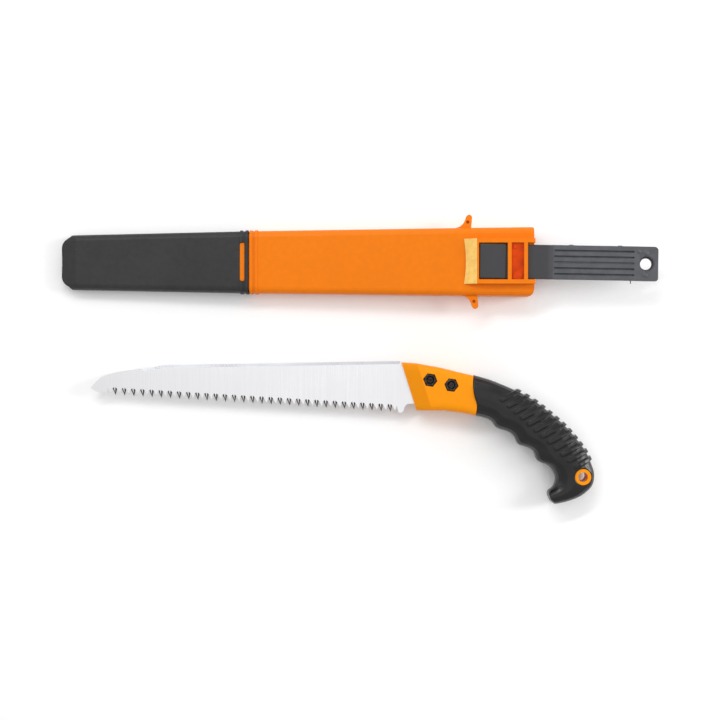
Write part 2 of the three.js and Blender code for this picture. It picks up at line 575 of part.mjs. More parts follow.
function sleeve() {
  const plan = outline([
    [0, -MOUTH_WIDTH / 2 - 0.1, 7], [0, MOUTH_WIDTH / 2 + 0.1, 2.5],
    [-SLEEVE_LENGTH, MOUTH_WIDTH], [-SLEEVE_LENGTH, -MOUTH_WIDTH],
  ]);
  const rings = [RING_WIDTH / 2 - SLEEVE_LENGTH, RING_WIDTH / 2 - SLEEVE_LENGTH + RING_PITCH];
  const outside = join(follow(0, -SLEEVE_LENGTH, 0), ...rings.map(ring)).intersect(plate(plan, 0, 2 * FRONT_FACE));
  const neckInset = WALL + GAP;
  const neckEnd = -SLEEVE_LENGTH - NECK_LENGTH;
  const web = 4; // solid ring that carries the neck
  const neck = follow(-SLEEVE_LENGTH + web, neckEnd, neckInset);
  const thickness = outsideAt(SNAP_X)[1];
  const snap = plate(snapSlot(-GAP), GAP, thickness - GAP).intersect(follow(SNAP_X + 5, SNAP_X - 5, GAP));
  const solid = join(outside, neck, snap, housing(), ear(1, RAMP_FRONT + 3.7), ear(-1, RAMP_FRONT + 8.9));
  return cut(
    solid,
    follow(1, -SLEEVE_LENGTH + web, WALL),
    follow(-SLEEVE_LENGTH + web + 1, neckEnd - 1, neckInset + NECK_WALL),
  );
}

// ---------------------------------------------------------------- strap

const STRAP_START = -3.1; // where it leaves the channel, clear of the rear cross bar
const STRAP_END = STRAP_START + STRAP_LENGTH;
const FLEX_END = STRAP_START + FLEX_LENGTH;
const HINGE = STRAP_START + FLEX_LENGTH / 2;
const STRAP_BASE = FRONT_FACE + GAP;
const HINGE_HEIGHT = STRAP_BASE + FLEX_THICKNESS / 2;
const STRAP_HALF = STRAP_WIDTH / 2;
const STRAP_PIVOT = new THREE.Vector2((PAD_WINDOW_FRONT + BAR_REAR) / 2, 0.25);

/** The tongue in the channel, its raised pad in the front window, and the start of the flexing web. */
function strapRoot() {
  const padFront = PAD_WINDOW_FRONT + 0.8;
  const padRear = PAD_WINDOW_REAR - 1.8;
  const tongue = block(padFront, STRAP_START + 0.1, -STRAP_HALF, STRAP_HALF, STRAP_BASE, STRAP_BASE + TONGUE_THICKNESS);
  const pad = block(padFront, padRear, -STRAP_HALF, STRAP_HALF, STRAP_BASE, STRAP_BASE + PAD_HEIGHT);
  const webEnd = HINGE - FLEX_THICKNESS / 2 - GAP;
  const web = block(STRAP_START, webEnd, -STRAP_HALF, STRAP_HALF, STRAP_BASE, STRAP_BASE + FLEX_THICKNESS);
  return join(tongue, pad, web);
}

/** The rest of the strap: half of the web, the grooved band and the pierced end plate. */
function strapTail() {
  const knuckle = new THREE.CylinderGeometry(FLEX_THICKNESS / 2, FLEX_THICKNESS / 2, STRAP_WIDTH, 24);
  const web = block(HINGE, FLEX_END + 1, -STRAP_HALF, STRAP_HALF, STRAP_BASE, STRAP_BASE + FLEX_THICKNESS);
  const band = plate(outline([
    [FLEX_END, -STRAP_HALF], [STRAP_END - 0.4, -STRAP_HALF, 1.6],
    [STRAP_END, STRAP_HALF, 3.4], [FLEX_END, STRAP_HALF],
  ]), STRAP_BASE, STRAP_BASE + STRAP_THICKNESS);
  const plateFront = STRAP_END - END_PLATE_LENGTH;
  const endPlate = plate(outline([
    [plateFront, -STRAP_HALF, 0.8], [STRAP_END - 0.4, -STRAP_HALF, 1.6],
    [STRAP_END, STRAP_HALF, 3.4], [plateFront, STRAP_HALF, 0.8],
  ]), STRAP_BASE + STRAP_THICKNESS - END_PLATE_THICKNESS, STRAP_BASE + STRAP_THICKNESS);
  const cuts = Array.from({ length: GROOVE_COUNT }, (_, i) => {
    const start = new THREE.Vector2(FLEX_END + 1, (i - (GROOVE_COUNT - 1) / 2) * GROOVE_PITCH);
    const shape = stadium(start, 0, plateFront - 1.2 - start.x, GROOVE_WIDTH);
    return plate(shape, STRAP_BASE + STRAP_THICKNESS - GROOVE_DEPTH, STRAP_BASE + 2 * STRAP_THICKNESS, 4);
  });
  const hole = { x: STRAP_END - STRAP_HOLE_INSET, y: 0 };
  const lip = STRAP_BASE + STRAP_THICKNESS - END_PLATE_THICKNESS + STRAP_LIP_THICKNESS;
  cuts.push(disc(hole, STRAP_HOLE, lip, 2 * FRONT_FACE), disc(hole, STRAP_HOLE_LIP, 0, 2 * FRONT_FACE));
  return cut(join(solidOf(knuckle.translate(HINGE, 0, HINGE_HEIGHT)), web, band, endPlate), ...cuts);
}

const scabbard = new THREE.Group();
addPiece(scabbard, 'sleeve', sleeve(), ORANGE_PLASTIC);
addPiece(scabbard, 'toe_boot', toeBoot(), CHARCOAL_PLASTIC);
const strap = new THREE.Group();
const root = addPiece(strap, 'strap_tongue', strapRoot(), SLATE_PLASTIC);
const tail = addPiece(strap, 'strap_tail', strapTail(), SLATE_PLASTIC);
for (const piece of [root, tail]) piece.position.x = -STRAP_PIVOT.x;
strap.position.set(STRAP_PIVOT.x, STRAP_PIVOT.y, 0);
strap.rotation.z = STRAP_TURN;
scabbard.add(strap);
scabbard.position.set(SCABBARD_PLACE.x, SCABBARD_PLACE.y, 0);
group.add(scabbard);

// The origin of the whole is the bottom centre of its box.
const box = new THREE.Box3().setFromObject(group);
const middle = box.getCenter(new THREE.Vector3());
for (const half of [saw, scabbard]) half.position.sub(new THREE.Vector3(middle.x, middle.y, box.min.z));

export default group;
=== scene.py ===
"""Pruning saw with its belt scabbard: the visible pieces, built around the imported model, in metres."""

import math

import bmesh
import bpy
from bpy.props import FloatProperty, FloatVectorProperty, PointerProperty
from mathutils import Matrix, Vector


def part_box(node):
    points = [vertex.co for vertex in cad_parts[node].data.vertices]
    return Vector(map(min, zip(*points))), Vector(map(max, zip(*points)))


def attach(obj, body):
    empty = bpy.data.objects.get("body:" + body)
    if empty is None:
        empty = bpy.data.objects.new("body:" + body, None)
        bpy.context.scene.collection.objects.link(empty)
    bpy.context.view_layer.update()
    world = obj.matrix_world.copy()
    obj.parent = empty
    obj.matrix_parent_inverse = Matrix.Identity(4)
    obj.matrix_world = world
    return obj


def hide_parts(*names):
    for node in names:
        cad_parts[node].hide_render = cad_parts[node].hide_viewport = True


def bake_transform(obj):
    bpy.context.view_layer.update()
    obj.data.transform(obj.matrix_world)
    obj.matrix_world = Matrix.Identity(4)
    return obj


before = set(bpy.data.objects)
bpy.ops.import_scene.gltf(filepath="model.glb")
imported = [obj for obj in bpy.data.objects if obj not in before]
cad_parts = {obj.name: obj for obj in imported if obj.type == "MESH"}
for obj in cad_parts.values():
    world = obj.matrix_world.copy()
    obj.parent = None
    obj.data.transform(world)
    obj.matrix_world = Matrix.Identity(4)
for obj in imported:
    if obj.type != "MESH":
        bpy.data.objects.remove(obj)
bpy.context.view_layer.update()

bl_info = {
    "name": "Pruning saw and scabbard",
    "version": (1, 0, 0),
    "blender": (4, 5, 0),
    "location": "3D View > Sidebar > Pruning Saw",
    "description": "Builds the visible pieces of a pruning saw and its belt scabbard around the packed model",
    "category": "Object",
}

MM = 0.001
UP = Vector((0, 0, 1))
PAINTED_SHADE = "bent"  # how much painted shade a point of the strap gets, from 0 to 1
MOTTLE_MM = 4.5  # blotches of flow in moulded plastic
GRINDING_TURN = math.radians(-4)  # the grinding lines lean a little from square to the blade


def linear(hex_colour):
    """The linear colour of an sRGB hex value such as E87A00."""
    channels = [int(hex_colour[i : i + 2], 16) / 255 for i in (0, 2, 4)]
    return tuple(c / 12.92 if c <= 0.04045 else ((c + 0.055) / 1.055) ** 2.4 for c in channels)


def colour(name, hex_colour, description):
    return FloatVectorProperty(
        name=name, description=description, default=linear(hex_colour), subtype="COLOR", min=0, max=1
    )


def length(name, millimetres, description):
    return FloatProperty(name=name, description=description, default=millimetres * MM, unit="LENGTH", precision=5)


class SawColours(bpy.types.PropertyGroup):
    """Finishes of the saw and scabbard."""

    sleeve: colour("Sleeve", "E87800", "Orange of the scabbard's sleeve")
    collar: colour("Collar", "F29200", "Orange of the handle's collar and eyelet")
    boot: colour("Boot", "2C2C2D", "Charcoal of the scabbard's toe boot")
    strap: colour("Strap", "54555A", "Slate of the flexible strap")
    # The web's darker slate is painted shade of the strap's dip where it bends.
    web: colour("Strap web", "363639", "Slate of the strap where it bends")
    rubber: colour("Grip", "060607", "Black of the grip's rubber")
    chrome: colour("Chrome", "EFEFF2", "Chromed steel of the blade")
    # The band's darker chrome is painted shade standing in for its bevel's dimmer reflection.
    band: colour("Spine band", "C3C4C8", "Chromed steel of the band along the spine")
    hardened: colour("Hardened teeth", "5C544C", "Ground facets of the hardened teeth")
    oxide: colour("Black oxide", "2B2624", "Blackened steel of the bolts and nuts")


class SawSizes(bpy.types.PropertyGroup):
    """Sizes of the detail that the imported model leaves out."""

    facet_width: length("Tooth facet width", 1.35, "Ground facet beside each gullet")
    facet_reach: length("Tooth facet reach", 1.1, "How far a facet runs past the gullet into the blade")
    facet_meet: length("Tooth facet meeting", 2.4, "Distance from the tip where a tooth's two facets meet")
    tooth_land: length("Tooth land", 0.25, "Thickness left at a tooth's cutting edge")
    spine_bevel: length("Spine bevel", 2.5, "Width of the ground band along the spine")
    spine_drop: length("Spine drop", 0.45, "How much thinner the spine is on each face")
    thread_pitch: length("Thread pitch", 1.0, "Pitch of the bolts' thread")
    strap_edge: length("Strap edge radius", 0.55, "Rounding along the strap's edges")


class StageSettings(bpy.types.PropertyGroup):
    """Floor, lights and camera."""

    floor: colour("Floor", "FCFCFC", "Matt white floor")
    camera_height: length("Camera height", 1414.5, "Camera above the floor")
    view_width: length("View width", 612, "Width seen by the camera at the blade's height")
    softbox: FloatProperty(
        name="Softbox power", description="Power of the main softbox", default=13.0, unit="POWER", min=0
    )
    sky: FloatProperty(name="Sky", description="Strength of the even white light", default=0.66, min=0)


def node(tree, kind, settings=None, links=None):
    """Adds a shader node. Settings are its properties or its inputs' values, links are input: output socket."""
    new = tree.nodes.new(kind)
    for key, value in (settings or {}).items():
        if isinstance(key, str) and hasattr(new, key):
            setattr(new, key, value)
        else:
            new.inputs[key].default_value = value
    for key, source in (links or {}).items():
        tree.links.new(source, new.inputs[key])
    return new


def rgba(rgb, factor=1.0):
    return tuple(min(1.0, c * factor) for c in rgb) + (1.0,)


def material(name, settings):
    """A material with one principled shader: (material, tree, shader, position in the object's space)."""
    made = bpy.data.materials.new(name)
    made.use_nodes = True
    tree = made.node_tree
    tree.nodes.clear()
    shader = node(tree, "ShaderNodeBsdfPrincipled", settings)
    node(tree, "ShaderNodeOutputMaterial", links={"Surface": shader.outputs[0]})
    place = node(tree, "ShaderNodeTexCoord").outputs["Object"]
    made.diffuse_color = shader.inputs["Base Color"].default_value
    return made, tree, shader, place


def covered(made, tree, shader, skin, gloss, bump):
    """Joins a colour mix, a roughness map and a bump to a material's shader, and returns the material."""
    tree.links.new(skin.outputs[2], shader.inputs["Base Color"])
    tree.links.new(gloss.outputs[0], shader.inputs["Roughness"])
    tree.links.new(bump.outputs[0], shader.inputs["Normal"])
    return made


def per_metre(millimetres):
    """The texture scale that makes one feature this wide."""
    return 1.0 / (millimetres * MM)


def moulded_plastic(name, base, roughness, grain_mm, grain_depth_mm, flow_mm=40, shade=0.86, gloss=0.16, bent=None):
    """Injection-moulded plastic: an even satin skin with a fine spark-eroded grain and broad faint flow shades, and
    another, darker colour painted in as shade where the mesh marks it."""
    made, tree, shader, place = material(
        name, {"Base Color": rgba(base), "Roughness": roughness, "IOR": 1.5, "Specular IOR Level": gloss}
    )
    flow = node(tree, "ShaderNodeTexNoise", {"Scale": per_metre(flow_mm), "Detail": 3}, {"Vector": place})
    mottle = node(tree, "ShaderNodeTexNoise", {"Scale": per_metre(MOTTLE_MM), "Detail": 4}, {"Vector": place})
    both = node(tree, "ShaderNodeMath", {"operation": "ADD"}, {0: flow.outputs[0], 1: mottle.outputs[0]})
    cloud = node(tree, "ShaderNodeMapRange", {"From Min": 0.75, "From Max": 1.25}, {"Value": both.outputs[0]})
    two_shades = {"data_type": "RGBA", 6: rgba(base), 7: rgba(base, shade)}
    skin = node(tree, "ShaderNodeMix", two_shades, {0: cloud.outputs[0]})
    # A darker colour painted in as shade where the mesh is marked, fading with the mark.
    if bent is not None:
        mark = node(tree, "ShaderNodeAttribute", {"attribute_name": PAINTED_SHADE})
        marked = {0: mark.outputs["Fac"], 6: skin.outputs[2]}
        skin = node(tree, "ShaderNodeMix", {"data_type": "RGBA", 7: rgba(bent)}, marked)
    grain = node(
        tree, "ShaderNodeTexNoise", {"Scale": per_metre(grain_mm), "Detail": 3, "Roughness": 0.6}, {"Vector": place}
    )
    gloss_range = {"From Min": 0.3, "From Max": 0.7, "To Min": roughness - 0.05, "To Max": roughness + 0.07}
    satin = node(tree, "ShaderNodeMapRange", gloss_range, {"Value": grain.outputs[0]})
    bump = node(tree, "ShaderNodeBump", {"Distance": grain_depth_mm * MM}, {"Height": grain.outputs[0]})
    return covered(made, tree, shader, skin, satin, bump)


def rubber_overmould(base):
    """Thermoplastic rubber, moulded in a polished tool: near black, half glossy, with broad soft highlights that a
    slight orange peel breaks up, and a greyer bloom on what stands proud and is handled most."""
    made, tree, shader, place = material(
        "moulded_thermoplastic_rubber",
        {"Base Color": rgba(base), "Roughness": 0.3, "IOR": 1.52, "Specular IOR Level": 0.45},
    )
    bloom = node(tree, "ShaderNodeTexNoise", {"Scale": per_metre(9), "Detail": 5}, {"Vector": place})
    proud = node(tree, "ShaderNodeNewGeometry").outputs["Pointiness"]
    both = node(tree, "ShaderNodeMath", {"operation": "ADD"}, {0: bloom.outputs[0], 1: proud})
    handled = node(tree, "ShaderNodeMapRange", {"From Min": 1.0, "From Max": 1.4}, {"Value": both.outputs[0]})
    black_to_grey = {"data_type": "RGBA", 6: rgba(base), 7: rgba(linear("151516"))}
    skin = node(tree, "ShaderNodeMix", black_to_grey, {0: handled.outputs[0]})
    gloss_range = {"From Min": 0.3, "From Max": 0.7, "To Min": 0.26, "To Max": 0.36}
    half_gloss = node(tree, "ShaderNodeMapRange", gloss_range, {"Value": bloom.outputs[0]})
    # The real peel is about 0.4 mm across. It is drawn at 0.8 mm so that it shows.
    peel = node(tree, "ShaderNodeTexNoise", {"Scale": per_metre(0.8), "Detail": 2}, {"Vector": place})
    bump = node(tree, "ShaderNodeBump", {"Distance": 0.02 * MM}, {"Height": peel.outputs[0]})
    return covered(made, tree, shader, skin, half_gloss, bump)


def ground_chrome(name, base):
    """Hard-chromed carbon steel over a cross-ground face: bright and satin, with fine grinding lines across the blade
    that stretch its highlights, and a cloudy variation of gloss."""
    made, tree, shader, place = material(name, {"Base Color": rgba(base), "Metallic": 1.0, "Roughness": 0.3})
    # The grinding lines are about 0.05 mm apart. They are drawn 0.7 mm apart so that they show.
    stretch = {"Rotation": (0, 0, GRINDING_TURN), "Scale": (per_metre(0.7), per_metre(60), per_metre(60))}
    along = node(tree, "ShaderNodeMapping", stretch, {"Vector": place}).outputs["Vector"]
    lines = node(tree, "ShaderNodeTexNoise", {"Scale": 1, "Detail": 4, "Roughness": 0.65}, {"Vector": along})
    cloud = node(tree, "ShaderNodeTexNoise", {"Scale": per_metre(25), "Detail": 3}, {"Vector": place})
    both = node(tree, "ShaderNodeMath", {"operation": "ADD"}, {0: lines.outputs[0], 1: cloud.outputs[0]})
    gloss_range = {"From Min": 0.7, "From Max": 1.3, "To Min": 0.24, "To Max": 0.38}
    satin = node(tree, "ShaderNodeMapRange", gloss_range, {"Value": both.outputs[0]})
    depth = node(tree, "ShaderNodeMapRange", {"From Min": 0.3, "From Max": 0.7}, {"Value": lines.outputs[0]})
    two_shades = {"data_type": "RGBA", 6: rgba(base), 7: rgba(base, 0.94)}
    skin = node(tree, "ShaderNodeMix", two_shades, {0: depth.outputs[0]})
    bump = node(tree, "ShaderNodeBump", {"Distance": 0.006 * MM}, {"Height": lines.outputs[0]})
    return covered(made, tree, shader, skin, satin, bump)


def hardened_facet(base):
    """Impulse-hardened tooth, ground after chroming: bare steel turned brown-grey by the heat, with coarse wheel
    marks along the facet."""
    made, tree, shader, place = material(
        "ground_hardened_steel", {"Base Color": rgba(base), "Metallic": 0.7, "Roughness": 0.55}
    )
    heat = node(tree, "ShaderNodeTexNoise", {"Scale": per_metre(6), "Detail": 2}, {"Vector": place})
    patches = node(tree, "ShaderNodeMapRange", {"From Min": 0.35, "From Max": 0.65}, {"Value": heat.outputs[0]})
    grey_to_brown = {"data_type": "RGBA", 6: rgba(base), 7: rgba(linear("3C3430"))}
    skin = node(tree, "ShaderNodeMix", grey_to_brown, {0: patches.outputs[0]})
    # The wheel marks are about 0.1 mm apart. They are drawn 0.35 mm apart so that they show.
    marks = node(tree, "ShaderNodeTexNoise", {"Scale": per_metre(0.35), "Detail": 3}, {"Vector": place})
    gloss_range = {"From Min": 0.3, "From Max": 0.7, "To Min": 0.48, "To Max": 0.62}
    dull = node(tree, "ShaderNodeMapRange", gloss_range, {"Value": marks.outputs[0]})
    bump = node(tree, "ShaderNodeBump", {"Distance": 0.02 * MM}, {"Height": marks.outputs[0]})
    return covered(made, tree, shader, skin, dull, bump)


def black_oxide(base):
    """Black-oxide steel, hot dipped and oiled: a dark brown-black skin with a low gloss, rubbed to bare grey on
    corners and flecked where the dip was thin."""
    made, tree, shader, place = material(
        "hot_black_oxide_steel", {"Base Color": rgba(base), "Metallic": 0.85, "Roughness": 0.4}
    )
    fleck = node(tree, "ShaderNodeTexNoise", {"Scale": per_metre(0.9), "Detail": 4}, {"Vector": place})
    edges = node(tree, "ShaderNodeNewGeometry").outputs["Pointiness"]
    both = node(tree, "ShaderNodeMath", {"operation": "ADD"}, {0: fleck.outputs[0], 1: edges})
    rubbed_range = {"From Min": 1.0, "From Max": 1.3, "To Max": 0.8}
    rubbed = node(tree, "ShaderNodeMapRange", rubbed_range, {"Value": both.outputs[0]})
    black_to_bare = {"data_type": "RGBA", 6: rgba(base), 7: rgba(linear("6E6660"))}
    skin = node(tree, "ShaderNodeMix", black_to_bare, {0: rubbed.outputs[0]})
    gloss_range = {"From Min": 0.3, "From Max": 0.7, "To Min": 0.34, "To Max": 0.5}
    oiled = node(tree, "ShaderNodeMapRange", gloss_range, {"Value": fleck.outputs[0]})
    bump = node(tree, "ShaderNodeBump", {"Distance": 0.03 * MM}, {"Height": fleck.outputs[0]})
    return covered(made, tree, shader, skin, oiled, bump)


FINISHES = {}


def finishes(colours):
    """Every finish by its short name, made once."""
    if "sleeve" not in FINISHES:
        FINISHES.update(
            # Polypropylene, moulded in a lightly blasted tool: satin orange, warm and a little translucent-looking.
            sleeve=moulded_plastic("moulded_polypropylene_orange", colours.sleeve, 0.4, 1.1, 0.02, 60, 0.93),
            # Glass-filled nylon, moulded in a smoother tool: the same orange, glossier and a shade lighter.
            collar=moulded_plastic("moulded_nylon_orange", colours.collar, 0.33, 1.0, 0.012, 30, 0.95),
            # Polypropylene, moulded in a coarsely spark-eroded tool: dull charcoal with a leathery grain.
            boot=moulded_plastic("moulded_polypropylene_charcoal", colours.boot, 0.5, 1.2, 0.09, 35, 0.75, 0.35),
            # The same polypropylene on the ramp, pale, dull and streaked: a painted highlight for the sheen the ramp
            # catches from the light, over streaks rubbed by the belt.
            rubbed=moulded_plastic("rubbed_polypropylene_orange", linear("FFD070"), 0.5, 0.9, 0.05, 5, 0.8, 0.3),
            # The same polypropylene on the floor of the bridge's window, deep in the housing: a deep red orange that
            # is painted shade of the recess and of the dark hollow behind its thin wall.
            thin=moulded_plastic("thin_walled_polypropylene_orange", linear("D84400"), 0.3, 1.0, 0.02, 6, 0.75, 0.12),
            # Soft polyethylene, moulded in a plain tool: slate grey with a waxy gloss and visible flow, and a darker
            # slate painted in as the shade of the web's dip, the pad and the tongue.
            strap=moulded_plastic(
                "moulded_polyethylene_slate", colours.strap, 0.36, 1.4, 0.05, 10, 0.75, 0.4, colours.web
            ),
            rubber=rubber_overmould(colours.rubber),
            chrome=ground_chrome("ground_hard_chrome", colours.chrome),
            # The same chrome on the spine's band, in a darker colour that is painted shade: the band's bevel reflects
            # a dimmer part of the room.
            band=ground_chrome("shaded_spine_chrome", colours.band),
            hardened=hardened_facet(colours.hardened),
            oxide=black_oxide(colours.oxide),
        )
    return FINISHES


def dress(piece, *names):
    """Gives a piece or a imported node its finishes, in the order of its faces' material numbers."""
    slots = piece.data.materials
    for i, name in enumerate(names):
        finish = finishes(bpy.context.scene.saw_colours)[name]
        if i < len(slots):
            slots[i] = finish
        else:
            slots.append(finish)


SENSOR = 36.0  # camera lens and sensor are in millimetres, as cameras give them
CAMERA_OVER = (0.001737, -0.00034)  # the point of the floor straight under the camera
FLOOR_HALF = 3.0
FLOOR_GAP = 0.0002  # keeps the floor off the faces that rest on it
SOFTBOXES = (  # name, place, size, share of the main power
    ("softbox_overhead", (0.1, 0.15, 2.3), (1.5, 1.2), 0.2),
    ("softbox_right", (1.9, 0.3, 0.9), (0.5, 1.4), 1.7),
    ("softbox_left", (-1.9, 0.6, 0.8), (0.4, 1.2), 0.2),
    ("softbox_back", (0.2, 1.9, 0.9), (1.4, 0.4), 0.4),
    ("strip_across_ribs", (-0.33, 0.85, 1.25), (1.0, 0.1), 0.5),
)
MERGE = 1e-6
SMOOTH_ANGLE = math.radians(35)


def finished(name, build, smooth_below=None):
    """Turns mesh code into an object in the scene. Edges flatter than smooth_below are shaded smooth."""
    bmesh.ops.recalc_face_normals(build, faces=build.faces)
    mesh = bpy.data.meshes.new(name)
    build.to_mesh(mesh)
    build.free()
    piece = bpy.data.objects.new(name, mesh)
    bpy.context.scene.collection.objects.link(piece)
    if smooth_below is not None:
        mesh.shade_smooth()
        mesh.set_sharp_from_angle(angle=smooth_below)
    return piece


def apply_modifiers(piece):
    """Turns the piece's modifiers into plain mesh."""
    graph = bpy.context.evaluated_depsgraph_get()
    mesh = bpy.data.meshes.new_from_object(piece.evaluated_get(graph))
    mesh.name = piece.name
    old = piece.data
    piece.modifiers.clear()
    piece.data = mesh
    bpy.data.meshes.remove(old)


def carve(piece, tool, operation):
    """Cuts the tool out of the piece, or joins it on, and deletes the tool."""
    modifier = piece.modifiers.new("carve", "BOOLEAN")
    modifier.operation, modifier.solver, modifier.object = operation, "EXACT", tool
    apply_modifiers(piece)
    bpy.data.objects.remove(tool)


def merged_copy(source):
    """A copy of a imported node's mesh as mesh code, with its split corners joined."""
    build = bmesh.new()
    build.from_mesh(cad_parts[source].data)
    bmesh.ops.remove_doubles(build, verts=build.verts, dist=MERGE)
    return build


def strip(build, rings, closed_rings=True, closed_path=False):
    """Joins rings of points into a skin and returns it as rows of corners."""
    rows = [[build.verts.new(point) for point in ring] for ring in rings]
    pairs = list(zip(rows, rows[1:])) + ([(rows[-1], rows[0])] if closed_path else [])
    for low, high in pairs:
        for i in range(len(low) if closed_rings else len(low) - 1):
            j = (i + 1) % len(low)
            build.faces.new((low[i], low[j], high[j], high[i]))
    return rows


def turned(build, centre, rings, segments=48, hollow=False):
    """A turned part. Each ring is a function from angle to (radius, height), so it may be a circle, a hexagon or a
    thread. A hollow part's last ring joins its first, and a solid part is capped at both ends."""
    angles = [math.tau * i / segments for i in range(segments)]
    points = []
    for ring in rings:
        spots = [(a, *ring(a)) for a in angles]
        points.append([(centre[0] + r * math.cos(a), centre[1] + r * math.sin(a), z) for a, r, z in spots])
    rows = strip(build, points, closed_path=hollow)
    if not hollow:
        build.faces.new(rows[0])
        build.faces.new(rows[-1])


def circle(radius, height):
    return lambda angle: (radius, height)


def hexagon_radius(flats, angle, turn):
    """Distance from the centre of a hexagon to its side, in one direction."""
    return flats / 2 / math.cos((angle - turn) % (math.pi / 3) - math.pi / 6)


class SAW_OT_frame_finishes(bpy.types.Operator):
    """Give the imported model's own pieces their finishes"""

    bl_idname = "pruning_saw.frame_finishes"
    bl_label = "Finishes of the packed pieces"

    def execute(self, context):
        for name, finish in NODE_FINISHES.items():
            dress(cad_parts[name], finish)
        return {"FINISHED"}


NODE_FINISHES = {
    "sleeve": "sleeve", "toe_boot": "boot", "handle_core": "collar", "grip": "rubber", "blade": "chrome",
    "bolt_front": "oxide", "bolt_rear": "oxide", "nut_front": "oxide", "nut_rear": "oxide",
    "strap_tongue": "strap", "strap_tail": "strap",
}

# ---------------------------------------------------------------- blade

FULL_DEPTH = 5 * MM  # deeper teeth are ground on the front face, the others on the back
SHARP = -0.5  # cosine of the turn at a tooth's tip or gullet, or beyond
FACING = 0.9  # cosine between a normal and the way it faces, or more
SPINE_BAND = 43.6 * MM  # the band along the spine starts this far behind the tip
PLAIN, GROUND, SHADED_BAND = 0, 1, 2  # numbers of the blade's finishes
EDGE_BREAK = 0.12 * MM


def plate_outlines(source, height):
    """The closed outlines of a packed plate's upper face, the longest first, as lists of flat corners."""
    build = merged_copy(source)
    build.faces.index_update()
    build.normal_update()
    upper = [face.normal.z > FACING and abs(face.calc_center_median().z - height) < MERGE * 10 for face in build.faces]
    follow = {}
    for face in build.faces:
        for loop in face.loops if upper[face.index] else ():
            if not any(upper[other.index] for other in loop.edge.link_faces if other is not face):
                follow[loop.vert] = loop.link_loop_next.vert
    outlines = []
    while follow:
        corner, outline = next(iter(follow)), []
        while corner in follow:
            outline.append(corner.co.xy.copy())
            corner = follow.pop(corner)
        outlines.append(outline)
    build.free()
    return sorted(outlines, key=len, reverse=True)


class SAW_OT_blade(bpy.types.Operator):
    """Build the blade, with every tooth ground to two facets and a ground band along the spine"""

    bl_idname = "pruning_saw.blade"
    bl_label = "Blade"

    def execute(self, context):
        sizes = context.scene.saw_sizes
        low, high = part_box("blade")
        bottom, top, land = low.z, high.z, sizes.tooth_land
        outline, *holes = plate_outlines("blade", top)
        count = len(outline)
        kinds = []  # a tip is 1, a gullet -1, any other corner 0
        for i, corner in enumerate(outline):
            arrive, leave = corner - outline[i - 1], outline[(i + 1) % count] - corner
            sharp = arrive.dot(leave) < SHARP * arrive.length * leave.length
            kinds.append((1 if arrive.cross(leave) > 0 else -1) if sharp else 0)

        def column(corner, inner, upper):
            """One line of corners from the upper face to the lower, on a tooth ground on one face."""
            levels = [bottom, bottom + land, top - land, top]
            across = [corner, corner, inner.lerp(corner, land / (top - bottom - land)), inner]
            if not upper:
                across.reverse()
            return [(*flat, level) for flat, level in zip(reversed(across), reversed(levels))]

        columns = []  # each is (line of corners, finish of the faces after it)
        for i, corner in enumerate(outline):
            before, after = outline[i - 1], outline[(i + 1) % count]
            if kinds[i] == 1 and kinds[i - 1] == -1 and kinds[(i + 1) % count] == -1:
                middle = (before + after) / 2
                depth = (corner - middle).length
                axis = (corner - middle).normalized()
                upper = depth > FULL_DEPTH
                for gullet, other in ((before, after), (after, before)):
                    inward = (other - gullet).normalized() * sizes.facet_width - axis * sizes.facet_reach
                    columns.append((column(gullet, gullet + inward, upper), GROUND))
                    if gullet is before:
                        columns.append((column(corner, corner - axis * sizes.facet_meet, upper), GROUND))
                columns[-1] = (columns[-1][0], PLAIN)
            elif kinds[i] == -1:
                columns.append((column(corner, corner, True), PLAIN))
            else:
                out = (corner - before).normalized() + (after - corner).normalized()
                out = Vector((out.y, -out.x)).normalized()
                spine = out.y > FACING and corner.x > low.x + SPINE_BAND
                inset, drop = (sizes.spine_bevel, sizes.spine_drop) if spine else (EDGE_BREAK, EDGE_BREAK)
                inner = corner - out * inset
                points = (inner, corner, corner, inner)
                levels = (top, top - drop, bottom + drop, bottom)
                line = [(*flat, level) for flat, level in zip(points, levels)]
                # Spine faces take the band's chrome, painted darker as shade.
                columns.append((line, SHADED_BAND if spine else PLAIN))

        build = bmesh.new()
        rows = [[build.verts.new(point) for point in line] for line, _ in columns]
        for i, (_, finish) in enumerate(columns):
            here, there = rows[i], rows[(i + 1) % len(rows)]
            for j in range(3):
                build.faces.new((here[j], here[j + 1], there[j + 1], there[j])).material_index = finish
        rims = [[[row[j] for row in rows] for j in (0, 3)]]
        for hole in holes:
            rims.append(strip(build, [[(*corner, level) for corner in hole] for level in (top, bottom)]))
        for side in (0, 1):
            edges = []
            for rim in rims:
                loop = rim[side]
                for a, b in zip(loop, loop[1:] + loop[:1]):
                    edges.append(build.edges.get((a, b)) or build.edges.new((a, b)))
            bmesh.ops.triangle_fill(build, use_beauty=True, edges=edges, normal=(0, 0, 1))
        bmesh.ops.remove_doubles(build, verts=build.verts, dist=MERGE)
        bmesh.ops.dissolve_degenerate(build, edges=build.edges, dist=MERGE)
        blade = finished("saw_blade", build)
        dress(blade, "chrome", "hardened", "band")
        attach(blade, "saw")
        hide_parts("blade")
        return {"FINISHED"}


# ---------------------------------------------------------------- bolts and nuts

